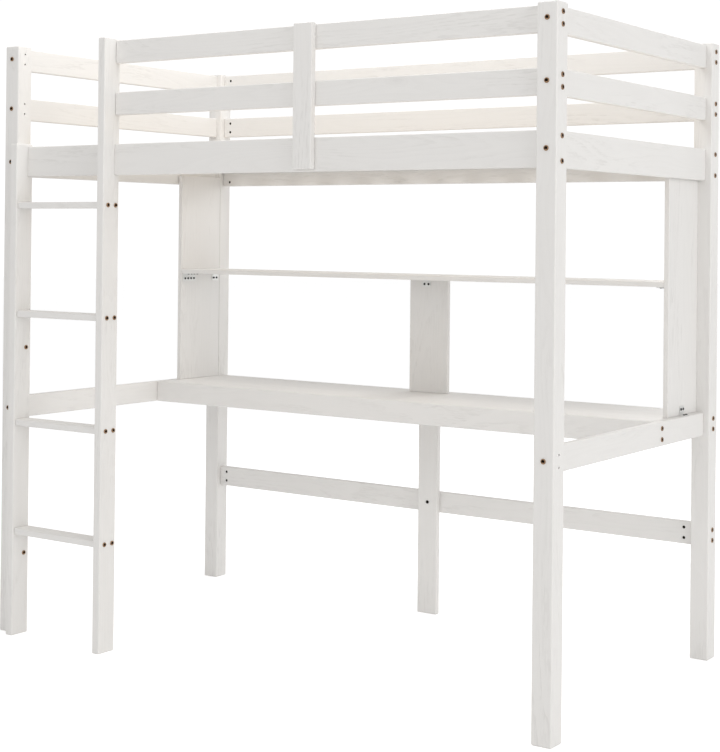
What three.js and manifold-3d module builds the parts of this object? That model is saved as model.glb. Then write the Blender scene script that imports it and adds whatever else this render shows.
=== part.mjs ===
// A white loft bed with a desk and a shelf underneath.
//
// Millimetres, +Z up. The origin is the middle of the footprint on the floor, with the
// ladder, which stands proud of the front posts, counted in.
// X runs along the bed, from the ladder end to the other end. Y runs from the front
// (the ladder side) to the back. Every board is its own solid. Posts carry the bolt
// bores. The rails that butt against them carry end bores, and those that run along
// the bed carry barrel-nut holes too.

import * as THREE from 'three';
import { mergeVertices } from 'three/addons/utils/BufferGeometryUtils.js';
import Module from 'manifold-3d';

const wasm = await Module();
wasm.setup();

// ---------------------------------------------------------------- driving dimensions

const LENGTH = 1985;            // over the posts, along X
const WIDTH = 1072;             // over the posts, along Y; the ladder stands proud of it
const HEIGHT = 1874;            // post height
const POST = 58;                // square post
const BOARD = 20;               // thickness of rails and rungs
const PANEL = 15;               // thickness of desktop, shelf and side panels
const RAIL = 70;                // height of guard rails and desk rails
const DEEP_RAIL = 95;           // height of the side rails and the lowest end rails
const GAP = 0.3;                // clearance kept between neighbouring pieces
const EASE = 2;                 // eased edge on boards
const POST_EASE = 2.5;          // eased edge on posts
const PANEL_EASE = 1;           // eased edge on thin boards and slats

const GUARD_TOP = 1868;         // top edge of the upper guard rails
const MIDDLE_TOP = 1709;        // top edge of the lower guard rails
const SIDE_TOP = 1551;          // top edge of the side rails
const DESK_TOP = 751;           // working surface
const STRETCHER_TOP = 412;      // top edge of the low stretcher at the back
const SHELF_TOP = 1150;

const LADDER_INSIDE = 349;      // clear width between the two stiles
const STILE_THICKNESS = 28;
const STILE_DEPTH = 68;
const STILE_ABOVE_RAIL = 8;     // the short stile ends this far above the side rail
const RUNG_DEPTH = 62;
const RUNG_SETBACK = 3;         // rungs sit this far behind the middle of the stiles
const RUNG_COUNT = 4;
const FIRST_RUNG = 330;         // height of the lowest rung's middle
const RUNG_PITCH = 344.5;

const DESK_DEPTH = 357;         // apron face to back edge
const LEG_WIDTH = 76;           // the desk's centre leg
const LEG_CENTRE = 982;         // from the ladder end
const HUTCH_DEPTH = 215;        // side panels and shelf
const DIVIDER_WIDTH = 150;
const DIVIDER_CENTRE = 997.5;   // from the ladder end
const DIVIDER_BRACKET = 989;    // its brackets, from the ladder end
const PANEL_BEHIND_RAIL = 63;   // the side panels' top, below the side rail's top edge
const DIVIDER_SETBACK = 14;     // divider's back face, in front of the back posts' front faces
const UPRIGHT_WIDTH = 65;
const UPRIGHT_CENTRE = 1190;    // from the ladder end
const UPRIGHT_LIFT = 6;         // its foot above the side rail's lower edge
const UPRIGHT_ABOVE_RAIL = 4;   // its top above the upper guard rail

const SLAT_COUNT = 13;
const SLAT_WIDTH = 68;
const SLAT_THICK = 16;
const SLAT_END_MARGIN = 44;     // first slat's middle to the post's inner face
const WELL_PLAY = 2;            // slats and ledgers stop this far from what they run between
const LEDGER_HEIGHT = 25;
const LEDGER_LIFT = 50;         // above the side rail's lower edge
const CLEAT = 20;               // square strips that carry the desktop

const BOLT_BORE = 7;
const NUT_BORE = 10;
const NUT_DEPTH = 14;           // barrel-nut holes stop short of the outer face
const NUT_FROM_END = 29;
const END_BORE = 42;            // length of the bolt bore in a rail's end
const BOLT_PITCH = 32;
const DEEP_BOLT_PITCH = 64;
const RUNG_BOLT_PITCH = 33;
const STILE_BOLT_HEIGHTS = [256, 911];  // bolts that hold the short stile to the post
const STILE_BOLT_FORWARD = 10;  // those bolts, in front of the post's middle
const SPARE_HOLE_DEPTH = 30;    // holes for the ladder at the other end

const BRACKET_LEG = 28;
const BRACKET_THICK = 2;
const BRACKET_SHORT = 32;
const BRACKET_LONG = 70;
const FOOT_LEG = 19;            // flat leg of the side panels' foot brackets, as wide as the rail
const SCREW_HOLE = 4.5;
const SCREW_PITCH = 16;
const HOLE_SHARE = 0.65;        // how far along a bracket's leg its holes are
const SHELF_BRACKET_FRONT = 44; // front shelf bracket's middle, behind the shelf's front edge
const SHELF_BRACKET_BACK = 26;  // back shelf bracket's middle, in front of its back edge
const FOOT_BRACKET_FRONT = 101; // foot bracket's middle, behind the panel's front edge

const BORE_SIDES = 8;           // facets of a bolt bore
const NUT_SIDES = 10;           // facets of a barrel-nut hole

// ---------------------------------------------------------------- materials

const whitePaint = () => new THREE.MeshStandardMaterial({ color: 0xe9e9ea, roughness: 0.5, metalness: 0 });
const bareWood = () => new THREE.MeshStandardMaterial({ color: 0xd9b98e, roughness: 0.7, metalness: 0 });
const zincSteel = () => new THREE.MeshStandardMaterial({ color: 0x8d9093, roughness: 0.35, metalness: 0.9 });

// ---------------------------------------------------------------- geometry helpers

const model = new THREE.Group();

// A board between two corners, with a 45 degree eased edge all round.
function easedBoard([x0, x1], [y0, y1], [z0, z1], ease) {
  const halfX = (x1 - x0) / 2 - ease;
  const halfY = (y1 - y0) / 2 - ease;
  const cut = (Math.SQRT2 - 1) * ease;
  const outline = new THREE.Shape([
    new THREE.Vector2(halfX, -halfY + cut),
    new THREE.Vector2(halfX, halfY - cut),
    new THREE.Vector2(halfX - cut, halfY),
    new THREE.Vector2(-halfX + cut, halfY),
    new THREE.Vector2(-halfX, halfY - cut),
    new THREE.Vector2(-halfX, -halfY + cut),
    new THREE.Vector2(-halfX + cut, -halfY),
    new THREE.Vector2(halfX - cut, -halfY),
  ]);
  const geometry = new THREE.ExtrudeGeometry(outline, {
    depth: z1 - z0 - 2 * ease,
    bevelEnabled: true,
    bevelSize: ease,
    bevelThickness: ease,
    bevelSegments: 1,
    steps: 1,
  });
  geometry.translate((x0 + x1) / 2, (y0 + y1) / 2, z0 + ease);
  return geometry;
}

function box([x0, x1], [y0, y1], [z0, z1]) {
  const geometry = new THREE.BoxGeometry(x1 - x0, y1 - y0, z1 - z0);
  return geometry.translate((x0 + x1) / 2, (y0 + y1) / 2, (z0 + z1) / 2);
}

// A round bore along one axis, from one coordinate to another on that axis.
function bore(axis, [from, to], centre, diameter, sides = BORE_SIDES) {
  const geometry = new THREE.CylinderGeometry(diameter / 2, diameter / 2, Math.abs(to - from), sides);
  if (axis === 'x') geometry.rotateZ(Math.PI / 2);
  if (axis === 'z') geometry.rotateX(Math.PI / 2);
  const place = new THREE.Vector3(centre.x ?? 0, centre.y ?? 0, centre.z ?? 0);
  place[axis] = (from + to) / 2;
  return geometry.translate(place.x, place.y, place.z);
}

function toSolid(geometry) {
  const bare = geometry.clone();
  bare.deleteAttribute('normal');
  bare.deleteAttribute('uv');
  const welded = mergeVertices(bare, 1e-4);
  return new wasm.Manifold(new wasm.Mesh({
    numProp: 3,
    vertProperties: new Float32Array(welded.attributes.position.array),
    triVerts: new Uint32Array(welded.index.array),
  }));
}

function toGeometry(solid) {
  const mesh = solid.getMesh();
  const geometry = new THREE.BufferGeometry();
  geometry.setAttribute('position', new THREE.BufferAttribute(new Float32Array(mesh.vertProperties), 3));
  geometry.setIndex(new THREE.BufferAttribute(new Uint32Array(mesh.triVerts), 1));
  return geometry;
}

function carve(geometry, cutters) {
  return toGeometry(cutters.reduce((solid, cutter) => solid.subtract(toSolid(cutter)), toSolid(geometry)));
}

// Pieces are laid out from the outer corner of the front left post; the origin moves
// them to the middle of the footprint, which starts at the ladder's front.
const ladderFront = (POST + BOARD) / 2 - STILE_DEPTH;
const origin = new THREE.Vector3(LENGTH / 2, (ladderFront + WIDTH) / 2, 0);

// Centres the geometry on its own box, and puts the mesh where the piece stands.
function place(name, geometry, material) {
  geometry.computeBoundingBox();
  const centre = geometry.boundingBox.getCenter(new THREE.Vector3());
  geometry.translate(-centre.x, -centre.y, -centre.z);
  geometry.computeVertexNormals();
  const mesh = new THREE.Mesh(geometry, material);
  mesh.name = name;
  mesh.position.copy(centre).sub(origin);
  model.add(mesh);
}

function board(name, x, y, z, { ease = EASE, cutters = [], material = whitePaint() } = {}) {
  const blank = easedBoard(x, y, z, ease);
  place(name, cutters.length ? carve(blank, cutters) : blank, material);
}

const around = (middle, size) => [middle - size / 2, middle + size / 2];
const below = (top, size) => [top - size, top];
const boltRow = (middle, pitch) => [middle - pitch / 2, middle + pitch / 2];

// ---------------------------------------------------------------- lines that the pieces share

const OVERSHOOT = 1;                             // a cutter's run past the face it opens
const frontLine = POST / 2;                      // middle plane of the front rails
const backLine = WIDTH - POST / 2;
const leftLine = POST / 2;                       // middle plane of the ladder-end rails
const rightLine = LENGTH - POST / 2;
const frontPostBack = POST;
const backPostFront = WIDTH - POST;
const leftPostFace = POST;
const rightPostFace = LENGTH - POST;

const guardMiddle = GUARD_TOP - RAIL / 2;
const lowGuardMiddle = MIDDLE_TOP - RAIL / 2;
const sideMiddle = SIDE_TOP - DEEP_RAIL / 2;
const sideBottom = SIDE_TOP - DEEP_RAIL;
const deskMiddle = DESK_TOP - RAIL / 2;
const stretcherMiddle = STRETCHER_TOP - RAIL / 2;

const stileBack = frontLine + BOARD / 2;
const stileFront = ladderFront;
const leftStile = [leftPostFace + GAP, leftPostFace + GAP + STILE_THICKNESS];
const rightStileLeft = leftStile[1] + LADDER_INSIDE;
const rightStile = [rightStileLeft, rightStileLeft + STILE_THICKNESS];
const rungMiddle = (stileFront + stileBack) / 2 + RUNG_SETBACK;
const stileBoltLine = frontLine - STILE_BOLT_FORWARD;
const rungHeights = Array.from({ length: RUNG_COUNT }, (_, i) => FIRST_RUNG + i * RUNG_PITCH);

// ---------------------------------------------------------------- posts

// Two bolts per rail along X, one per rail along Y.
const boltsAlongX = [
  ...boltRow(guardMiddle, BOLT_PITCH),
  ...boltRow(lowGuardMiddle, BOLT_PITCH),
  ...boltRow(sideMiddle, DEEP_BOLT_PITCH),
];
const backBoltsAlongX = [
  ...boltRow(deskMiddle, BOLT_PITCH),
  ...boltRow(stretcherMiddle, BOLT_PITCH),
];
const boltsAlongY = [guardMiddle, lowGuardMiddle, sideMiddle, deskMiddle];

function post(name, x0, y0, heightsAlongX, extraCutters = []) {
  const through = (start) => [start - OVERSHOOT, start + POST + OVERSHOOT];
  const cutters = [
    ...heightsAlongX.map((z) => bore('x', through(x0), { y: y0 + POST / 2, z }, BOLT_BORE)),
    ...boltsAlongY.map((z) => bore('y', through(y0), { x: x0 + POST / 2, z }, BOLT_BORE)),
    ...extraCutters,
  ];
  board(name, [x0, x0 + POST], [y0, y0 + POST], [0, HEIGHT], { ease: POST_EASE, cutters });
}

const spareHoles = boltRow(deskMiddle, BOLT_PITCH).map((z) => (
  bore('x', [LENGTH - SPARE_HOLE_DEPTH, LENGTH + OVERSHOOT], { y: frontLine, z }, BOLT_BORE)));

const stileHoles = STILE_BOLT_HEIGHTS.map((z) => (
  bore('x', [-OVERSHOOT, leftPostFace + OVERSHOOT], { y: stileBoltLine, z }, BOLT_BORE)));

post('post_front_left', 0, 0, boltsAlongX, stileHoles);
post('post_front_right', rightPostFace, 0, boltsAlongX, spareHoles);
post('post_back_left', 0, backPostFront, [...boltsAlongX, ...backBoltsAlongX]);
post('post_back_right', rightPostFace, backPostFront, [...boltsAlongX, ...backBoltsAlongX]);

// ---------------------------------------------------------------- rails

// The bolt bores into the end grain at one end of a rail.
function endBores(axis, end, inward, middle, heights) {
  const across = axis === 'x' ? 'y' : 'x';
  const reach = [end - inward * OVERSHOOT, end + inward * END_BORE];
  return heights.map((z) => bore(axis, reach, { [across]: middle, z }, BOLT_BORE));
}

// One end of a rail along X: its bolt bores, and a blind cross hole for each
// barrel nut, opened on the rail's inner face.
function nutJoint(end, inward, middle, inside, heights) {
  const innerFace = middle + inside * BOARD / 2;
  const reach = [innerFace + inside * OVERSHOOT, innerFace - inside * NUT_DEPTH];
  const nutLine = end + inward * NUT_FROM_END;
  return [
    ...endBores('x', end, inward, middle, heights),
    ...heights.map((z) => bore('y', reach, { x: nutLine, z }, NUT_BORE, NUT_SIDES)),
  ];
}

// A rail along X between two faces, on the front or the back of the bed.
function railAlongX(name, [x0, x1], middle, top, height, pitch) {
  const inside = middle < WIDTH / 2 ? 1 : -1;
  const heights = boltRow(top - height / 2, pitch);
  const span = [x0 + GAP, x1 - GAP];
  const cutters = [
    ...nutJoint(span[0], 1, middle, inside, heights),
    ...nutJoint(span[1], -1, middle, inside, heights),
  ];
  board(name, span, around(middle, BOARD), below(top, height), { cutters });
}

// A rail along Y between the front and back posts, at one end of the bed. Its single
// bolts run into threaded inserts in the end grain, so its faces stay whole.
function railAlongY(name, middle, top, height, extraCutters = []) {
  const span = [frontPostBack + GAP, backPostFront - GAP];
  const cutters = [
    ...endBores('y', span[0], 1, middle, [top - height / 2]),
    ...endBores('y', span[1], -1, middle, [top - height / 2]),
    ...extraCutters,
  ];
  board(name, around(middle, BOARD), span, below(top, height), { cutters });
}

const betweenPosts = [leftPostFace, rightPostFace];
const ladderToPost = [rightStile[1], rightPostFace];

railAlongX('side_rail_front', betweenPosts, frontLine, SIDE_TOP, DEEP_RAIL, DEEP_BOLT_PITCH);
railAlongX('side_rail_back', betweenPosts, backLine, SIDE_TOP, DEEP_RAIL, DEEP_BOLT_PITCH);
railAlongX('guard_rail_front_upper', ladderToPost, frontLine, GUARD_TOP, RAIL, BOLT_PITCH);
railAlongX('guard_rail_front_lower', ladderToPost, frontLine, MIDDLE_TOP, RAIL, BOLT_PITCH);
railAlongX('guard_rail_back_upper', betweenPosts, backLine, GUARD_TOP, RAIL, BOLT_PITCH);
railAlongX('guard_rail_back_lower', betweenPosts, backLine, MIDDLE_TOP, RAIL, BOLT_PITCH);

for (const [end, middle] of [['left', leftLine], ['right', rightLine]]) {
  railAlongY(`end_rail_${end}_upper`, middle, GUARD_TOP, RAIL);
  railAlongY(`end_rail_${end}_middle`, middle, MIDDLE_TOP, RAIL);
  railAlongY(`end_rail_${end}_lower`, middle, SIDE_TOP, DEEP_RAIL);
}

// The short upright that ties the front rails together, on their outer faces.
const railFace = frontLine - BOARD / 2;
board('guard_upright', around(UPRIGHT_CENTRE, UPRIGHT_WIDTH), [railFace - BOARD - GAP, railFace - GAP],
  [sideBottom + UPRIGHT_LIFT, GUARD_TOP + UPRIGHT_ABOVE_RAIL]);

// ---------------------------------------------------------------- ladder

// A stile is notched at its back, where the side rail passes through it.
function stile(name, x, top, postHeights, railHeights) {
  const through = [x[0] - OVERSHOOT, x[1] + OVERSHOOT];
  const cutters = [
    box(through, [railFace - GAP, stileBack + OVERSHOOT], [sideBottom - GAP, SIDE_TOP + GAP]),
    ...rungHeights.flatMap((z) => boltRow(rungMiddle, RUNG_BOLT_PITCH)
      .map((y) => bore('x', through, { y, z }, BOLT_BORE))),
    ...postHeights.map((z) => bore('x', through, { y: stileBoltLine, z }, BOLT_BORE)),
    ...railHeights.map((z) => bore('x', through, { y: frontLine, z }, BOLT_BORE)),
  ];
  board(name, x, [stileFront, stileBack], [0, top], { cutters });
}

const guardBolts = [...boltRow(guardMiddle, BOLT_PITCH), ...boltRow(lowGuardMiddle, BOLT_PITCH)];
stile('ladder_stile_left', leftStile, SIDE_TOP + STILE_ABOVE_RAIL, STILE_BOLT_HEIGHTS, []);
stile('ladder_stile_right', rightStile, HEIGHT, [], guardBolts);

rungHeights.forEach((height, i) => {
  const span = [leftStile[1] + GAP, rightStile[0] - GAP];
  const cutters = boltRow(rungMiddle, RUNG_BOLT_PITCH).flatMap((y) => [
    bore('x', [span[0] - OVERSHOOT, span[0] + END_BORE], { y, z: height }, BOLT_BORE),
    bore('x', [span[1] - END_BORE, span[1] + OVERSHOOT], { y, z: height }, BOLT_BORE),
  ]);
  board(`ladder_rung_${i + 1}`, span, around(rungMiddle, RUNG_DEPTH), around(height, BOARD), { cutters });
});

// ---------------------------------------------------------------- mattress support

const ledgerZ = [sideBottom + LEDGER_LIFT, sideBottom + LEDGER_LIFT + LEDGER_HEIGHT];
const wellFront = frontLine + BOARD / 2;
const wellBack = backLine - BOARD / 2;
const ledgerSpan = [leftPostFace + WELL_PLAY, rightPostFace - WELL_PLAY];
board('slat_ledger_front', ledgerSpan, [wellFront + GAP, wellFront + BOARD], ledgerZ);
board('slat_ledger_back', ledgerSpan, [wellBack - BOARD, wellBack - GAP], ledgerZ);

const slatPitch = (rightPostFace - leftPostFace - 2 * SLAT_END_MARGIN) / (SLAT_COUNT - 1);
for (let i = 0; i < SLAT_COUNT; i += 1) {
  const middle = leftPostFace + SLAT_END_MARGIN + i * slatPitch;
  const number = String(i + 1).padStart(2, '0');
  board(`bed_slat_${number}`, around(middle, SLAT_WIDTH), [wellFront + WELL_PLAY, wellBack - WELL_PLAY],
    [ledgerZ[1] + GAP, ledgerZ[1] + SLAT_THICK], { ease: PANEL_EASE, material: bareWood() });
}

// ---------------------------------------------------------------- desk

const deskBack = backLine + BOARD / 2;
const apronFront = deskBack - DESK_DEPTH;
const apronMiddle = apronFront + BOARD / 2;
const leftRailInner = leftLine + BOARD / 2;
const rightRailInner = rightLine - BOARD / 2;
const apronBolts = boltRow(deskMiddle, BOLT_PITCH);

for (const [end, middle] of [['left', leftLine], ['right', rightLine]]) {
  const through = [middle - BOARD, middle + BOARD];
  const cutters = apronBolts.map((z) => bore('x', through, { y: apronMiddle, z }, BOLT_BORE));
  railAlongY(`desk_end_rail_${end}`, middle, DESK_TOP, RAIL, cutters);
}

railAlongX('desk_back_rail', betweenPosts, backLine, DESK_TOP, RAIL, BOLT_PITCH);
railAlongX('back_stretcher', betweenPosts, backLine, STRETCHER_TOP, RAIL, BOLT_PITCH);

// The apron butts between the two desk end rails; its barrel nuts open to the back.
board('desk_apron', [leftRailInner + GAP, rightRailInner - GAP], around(apronMiddle, BOARD),
  below(DESK_TOP, RAIL), {
    cutters: [
      ...nutJoint(leftRailInner + GAP, 1, apronMiddle, 1, apronBolts),
      ...nutJoint(rightRailInner - GAP, -1, apronMiddle, 1, apronBolts),
    ],
  });

// The desktop lies between the rails, flush with them, notched round the back posts.
const desktopZ = below(DESK_TOP, PANEL);
const cornerNotch = (x) => box(x, [backPostFront - GAP, deskBack], [desktopZ[0] - OVERSHOOT, DESK_TOP + OVERSHOOT]);
board('desktop', [leftRailInner + GAP, rightRailInner - GAP],
  [apronFront + BOARD + GAP, backLine - BOARD / 2 - GAP], desktopZ, {
    ease: PANEL_EASE,
    cutters: [
      cornerNotch([0, leftPostFace + GAP]),
      cornerNotch([rightPostFace - GAP, LENGTH]),
    ],
  });

const cleatZ = below(desktopZ[0] - GAP, CLEAT);
const cleatSpan = [leftPostFace + BOARD, rightPostFace - BOARD];
board('desk_cleat_front', cleatSpan, [apronFront + BOARD + GAP, apronFront + BOARD + CLEAT], cleatZ);

// The centre leg stands in front of the stretcher; the back cleat stops on each side of it.
const legX = around(LEG_CENTRE, LEG_WIDTH);
const legY = [backLine - BOARD / 2 - BOARD, backLine - BOARD / 2 - GAP];
board('desk_centre_leg', legX, legY, [0, desktopZ[0] - GAP], {
  cutters: [bore('y', [legY[0] - OVERSHOOT, legY[1] + OVERSHOOT], { x: LEG_CENTRE, z: stretcherMiddle }, BOLT_BORE)],
});
const backCleatY = [backLine - BOARD / 2 - CLEAT, backLine - BOARD / 2 - GAP];
board('desk_cleat_back_left', [cleatSpan[0], legX[0] - GAP], backCleatY, cleatZ);
board('desk_cleat_back_right', [legX[1] + GAP, cleatSpan[1]], backCleatY, cleatZ);

// ---------------------------------------------------------------- hutch

const hutchY = [backPostFront - HUTCH_DEPTH, backPostFront - GAP];
// The side panels' inner faces line up with the posts' inner faces.
const leftPanel = [leftPostFace - GAP - PANEL, leftPostFace - GAP];
const rightPanel = [rightPostFace + GAP, rightPostFace + GAP + PANEL];
const panelZ = [DESK_TOP + GAP, SIDE_TOP - PANEL_BEHIND_RAIL];
board('hutch_panel_left', leftPanel, hutchY, panelZ, { ease: PANEL_EASE });
board('hutch_panel_right', rightPanel, hutchY, panelZ, { ease: PANEL_EASE });
board('hutch_shelf', [leftPanel[1] + GAP, rightPanel[0] - GAP], hutchY, below(SHELF_TOP, PANEL),
  { ease: PANEL_EASE });

const shelfBottom = SHELF_TOP - PANEL;
const dividerBack = backPostFront - DIVIDER_SETBACK;
board('hutch_divider', around(DIVIDER_CENTRE, DIVIDER_WIDTH), [dividerBack - PANEL, dividerBack],
  [DESK_TOP + GAP, shelfBottom - GAP], { ease: PANEL_EASE });

// ---------------------------------------------------------------- angle brackets

// A bent steel angle in its own frame: the corner line runs along Y through the
// origin, one leg lies flat along +X, the other stands up along +Z.
function angleBracket(length, flatLeg) {
  const bend = BRACKET_THICK * 1.5;
  const profile = new THREE.Shape();
  profile.moveTo(bend, 0);
  profile.lineTo(flatLeg, 0);
  profile.lineTo(flatLeg, BRACKET_THICK);
  profile.lineTo(bend, BRACKET_THICK);
  profile.quadraticCurveTo(BRACKET_THICK, BRACKET_THICK, BRACKET_THICK, bend);
  profile.lineTo(BRACKET_THICK, BRACKET_LEG);
  profile.lineTo(0, BRACKET_LEG);
  profile.lineTo(0, bend);
  profile.quadraticCurveTo(0, 0, bend, 0);
  const blank = new THREE.ExtrudeGeometry(profile, { depth: length, bevelEnabled: false, curveSegments: 2 });
  blank.rotateX(Math.PI / 2).translate(0, length / 2, 0);
  const holes = Math.floor(length / SCREW_PITCH);
  const cutters = [];
  const reach = [-OVERSHOOT, BRACKET_THICK + OVERSHOOT];
  for (let i = 0; i < holes; i += 1) {
    const y = (i - (holes - 1) / 2) * SCREW_PITCH;
    cutters.push(bore('z', reach, { x: flatLeg * HOLE_SHARE, y }, SCREW_HOLE));
    cutters.push(bore('x', reach, { y, z: BRACKET_LEG * HOLE_SHARE }, SCREW_HOLE));
  }
  return carve(blank, cutters);
}

// turn: about Z, in quarter turns; flip: the flat leg goes under a board instead of on it.
function bracket(name, length, turn, flip, corner, flatLeg = BRACKET_LEG) {
  const geometry = angleBracket(length, flatLeg);
  if (flip) geometry.rotateX(Math.PI);
  geometry.rotateZ(turn * Math.PI / 2);
  geometry.translate(corner.x, corner.y, corner.z);
  place(name, geometry, zincSteel());
}

const underShelf = shelfBottom - GAP;
const onDesk = DESK_TOP + GAP;
const frontBracketY = hutchY[0] + SHELF_BRACKET_FRONT;
const backBracketY = hutchY[1] - SHELF_BRACKET_BACK;
for (const [side, face, turn] of [['left', leftPanel[1] + GAP, 0], ['right', rightPanel[0] - GAP, 2]]) {
  bracket(`shelf_bracket_${side}_front`, BRACKET_LONG, turn, true, { x: face, y: frontBracketY, z: underShelf });
  bracket(`shelf_bracket_${side}_back`, BRACKET_SHORT, turn, true, { x: face, y: backBracketY, z: underShelf });
}
const dividerFace = dividerBack - PANEL - GAP;
bracket('divider_bracket_top', BRACKET_SHORT, 3, true, { x: DIVIDER_BRACKET, y: dividerFace, z: underShelf });
bracket('divider_bracket_foot', BRACKET_SHORT, 1, false, { x: DIVIDER_BRACKET, y: dividerBack + GAP, z: onDesk });

const footBracketY = hutchY[0] + FOOT_BRACKET_FRONT;
for (const [side, face, turn] of [['left', leftPanel[0] - GAP, 2], ['right', rightPanel[1] + GAP, 0]]) {
  bracket(`panel_bracket_${side}`, BRACKET_SHORT, turn, false, { x: face, y: footBracketY, z: onDesk }, FOOT_LEG);
}

export default model;
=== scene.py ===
# %% [markdown]
# # A white loft bed with a desk
#
# The bed is a softwood frame: square posts, flat rails, a straight ladder, and a desk with
# a shelf underneath. Its boards come ready-cut, with their bolt bores, as the fixed frame.
# What is added here is what the eye reads up close: paint with the grain showing through
# it and a little wear on its edges, bare pine slats, and every bolt, barrel nut and screw.

# %% Load the frame
import math

import bpy
from mathutils import Matrix, Vector


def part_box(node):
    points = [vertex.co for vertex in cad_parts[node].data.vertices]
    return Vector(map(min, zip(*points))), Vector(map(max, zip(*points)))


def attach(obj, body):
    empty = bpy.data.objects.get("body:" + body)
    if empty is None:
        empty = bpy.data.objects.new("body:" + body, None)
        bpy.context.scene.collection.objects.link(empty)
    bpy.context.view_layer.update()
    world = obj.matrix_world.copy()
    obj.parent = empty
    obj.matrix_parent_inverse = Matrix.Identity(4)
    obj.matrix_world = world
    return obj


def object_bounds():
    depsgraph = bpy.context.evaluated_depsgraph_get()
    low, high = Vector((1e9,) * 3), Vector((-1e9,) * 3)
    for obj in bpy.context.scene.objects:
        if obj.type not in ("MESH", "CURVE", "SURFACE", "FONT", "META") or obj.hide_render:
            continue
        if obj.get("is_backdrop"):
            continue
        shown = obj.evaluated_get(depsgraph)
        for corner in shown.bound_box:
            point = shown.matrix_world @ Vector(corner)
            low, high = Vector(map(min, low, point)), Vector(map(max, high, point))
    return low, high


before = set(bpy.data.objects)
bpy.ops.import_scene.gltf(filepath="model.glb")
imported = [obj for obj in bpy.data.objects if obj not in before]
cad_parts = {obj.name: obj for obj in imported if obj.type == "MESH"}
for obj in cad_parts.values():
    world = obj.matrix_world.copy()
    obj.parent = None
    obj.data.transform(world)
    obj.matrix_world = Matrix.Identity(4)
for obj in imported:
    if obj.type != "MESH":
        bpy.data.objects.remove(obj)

ROOT = "root"                       # the one body: nothing on this bed moves

cad_low, cad_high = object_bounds()
print("frame:", len(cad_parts), "boards and brackets,",
      [round(side, 3) for side in cad_high - cad_low], "m")

# %% [markdown]
# ## Camera
#
# The bed is seen from its front right corner, at chest height, through a long lens held
# almost level. A level lens keeps the posts upright. To take in the feet without tipping
# the camera, the lens is shifted down, as on a view camera.

# %% Camera
CAMERA_PLACE = Vector((2.817, -4.036, 1.281))
CAMERA_TURN = math.radians(34.54)   # away from looking straight at the back, to the left
CAMERA_TILT = math.radians(0.40)
CAMERA_ROLL = math.radians(0.57)
LENS = 75.2
LENS_SHIFT = -0.2026
FILM_WIDTH = 36


def add_camera():
    """A camera looking back and to the left, rolled a little about its own line of sight."""
    data = bpy.data.cameras.new("camera")
    data.lens = LENS
    data.sensor_width = FILM_WIDTH
    data.shift_y = LENS_SHIFT
    camera = bpy.data.objects.new("camera", data)
    bpy.context.scene.collection.objects.link(camera)
    turn = Matrix.Rotation(CAMERA_TURN, 4, "Z")
    tilt = Matrix.Rotation(math.pi / 2 + CAMERA_TILT, 4, "X")
    roll = Matrix.Rotation(CAMERA_ROLL, 4, "Z")
    camera.matrix_world = Matrix.Translation(CAMERA_PLACE) @ turn @ tilt @ roll
    bpy.context.scene.camera = camera


add_camera()
print("camera:", LENS, "mm lens,", round(-CAMERA_PLACE.y, 1), "m in front of the bed's middle")

# %% [markdown]
# ## Light and floor
#
# White furniture is shown on a lit white sweep, so that its faces differ only a little. The
# world is seen as pure white, but lights the bed with less, or every face would burn out.
# A broad panel on the right makes the faces that look that way the brightest, and a weaker
# one in front fills the long side. A small one hangs over the mattress: it brightens the
# insides of the rails, and falls between the slats onto the desk. Another stands behind, as
# the lights on a white backdrop do, and skims the desktop.

# %% Light and floor
FLOOR_RADIUS = 40
BED_MIDDLE = (0, 0, 1)

scene = bpy.context.scene
scene.view_settings.view_transform = "Standard"


def add_world(seen, lighting):
    """A white world, with one strength where it is seen and another where it lights."""
    world = bpy.data.worlds.new("white_room")
    world.use_nodes = True
    tree = world.node_tree
    tree.nodes["Background"].inputs["Color"].default_value = (1, 1, 1, 1)
    ray = tree.nodes.new("ShaderNodeLightPath")
    strength = tree.nodes.new("ShaderNodeMapRange")
    strength.inputs["To Min"].default_value = lighting
    strength.inputs["To Max"].default_value = seen
    tree.links.new(ray.outputs["Is Camera Ray"], strength.inputs["Value"])
    tree.links.new(strength.outputs["Result"], tree.nodes["Background"].inputs["Strength"])
    scene.world = world


def add_panel(name, place, target, size, power):
    """A square soft light at place, facing target."""
    data = bpy.data.lights.new(name, "AREA")
    data.size = size
    data.energy = power
    light = bpy.data.objects.new(name, data)
    scene.collection.objects.link(light)
    light.location = place
    light.visible_camera = False
    light.rotation_euler = (Vector(target) - Vector(place)).to_track_quat("-Z", "Y").to_euler()


add_world(seen=1.05, lighting=0.59)
add_panel("panel_right", (7.0, -1.5, 2.8), BED_MIDDLE, size=4, power=128)
add_panel("panel_front", (0.5, -4.6, 3.6), BED_MIDDLE, size=4, power=39)
add_panel("panel_behind", (0.3, 4.8, 2.6), BED_MIDDLE, size=3, power=80)
add_panel("panel_over_mattress", (-0.1, -0.2, 3.4), BED_MIDDLE, size=1.4, power=28)

bpy.ops.object.select_all(action="DESELECT")
bpy.ops.mesh.primitive_circle_add(
    vertices=96, radius=FLOOR_RADIUS, fill_type="NGON", location=(0, 0, 0))
floor = bpy.context.active_object
floor.name = "floor"
floor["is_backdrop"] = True

# %% [markdown]
# ## Building materials from nodes
#
# A material is a small network. A few helpers keep the networks readable: each adds a node
# with its settings, and wires up or fills in what feeds it.

# %% Node helpers
FLOAT = "NodeSocketFloat"
VECTOR = "NodeSocketVector"


def feed(tree, socket, value):
    """Links the socket to another socket, or sets it to a value."""
    if isinstance(value, bpy.types.NodeSocket):
        tree.links.new(value, socket)
    else:
        socket.default_value = value


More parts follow.
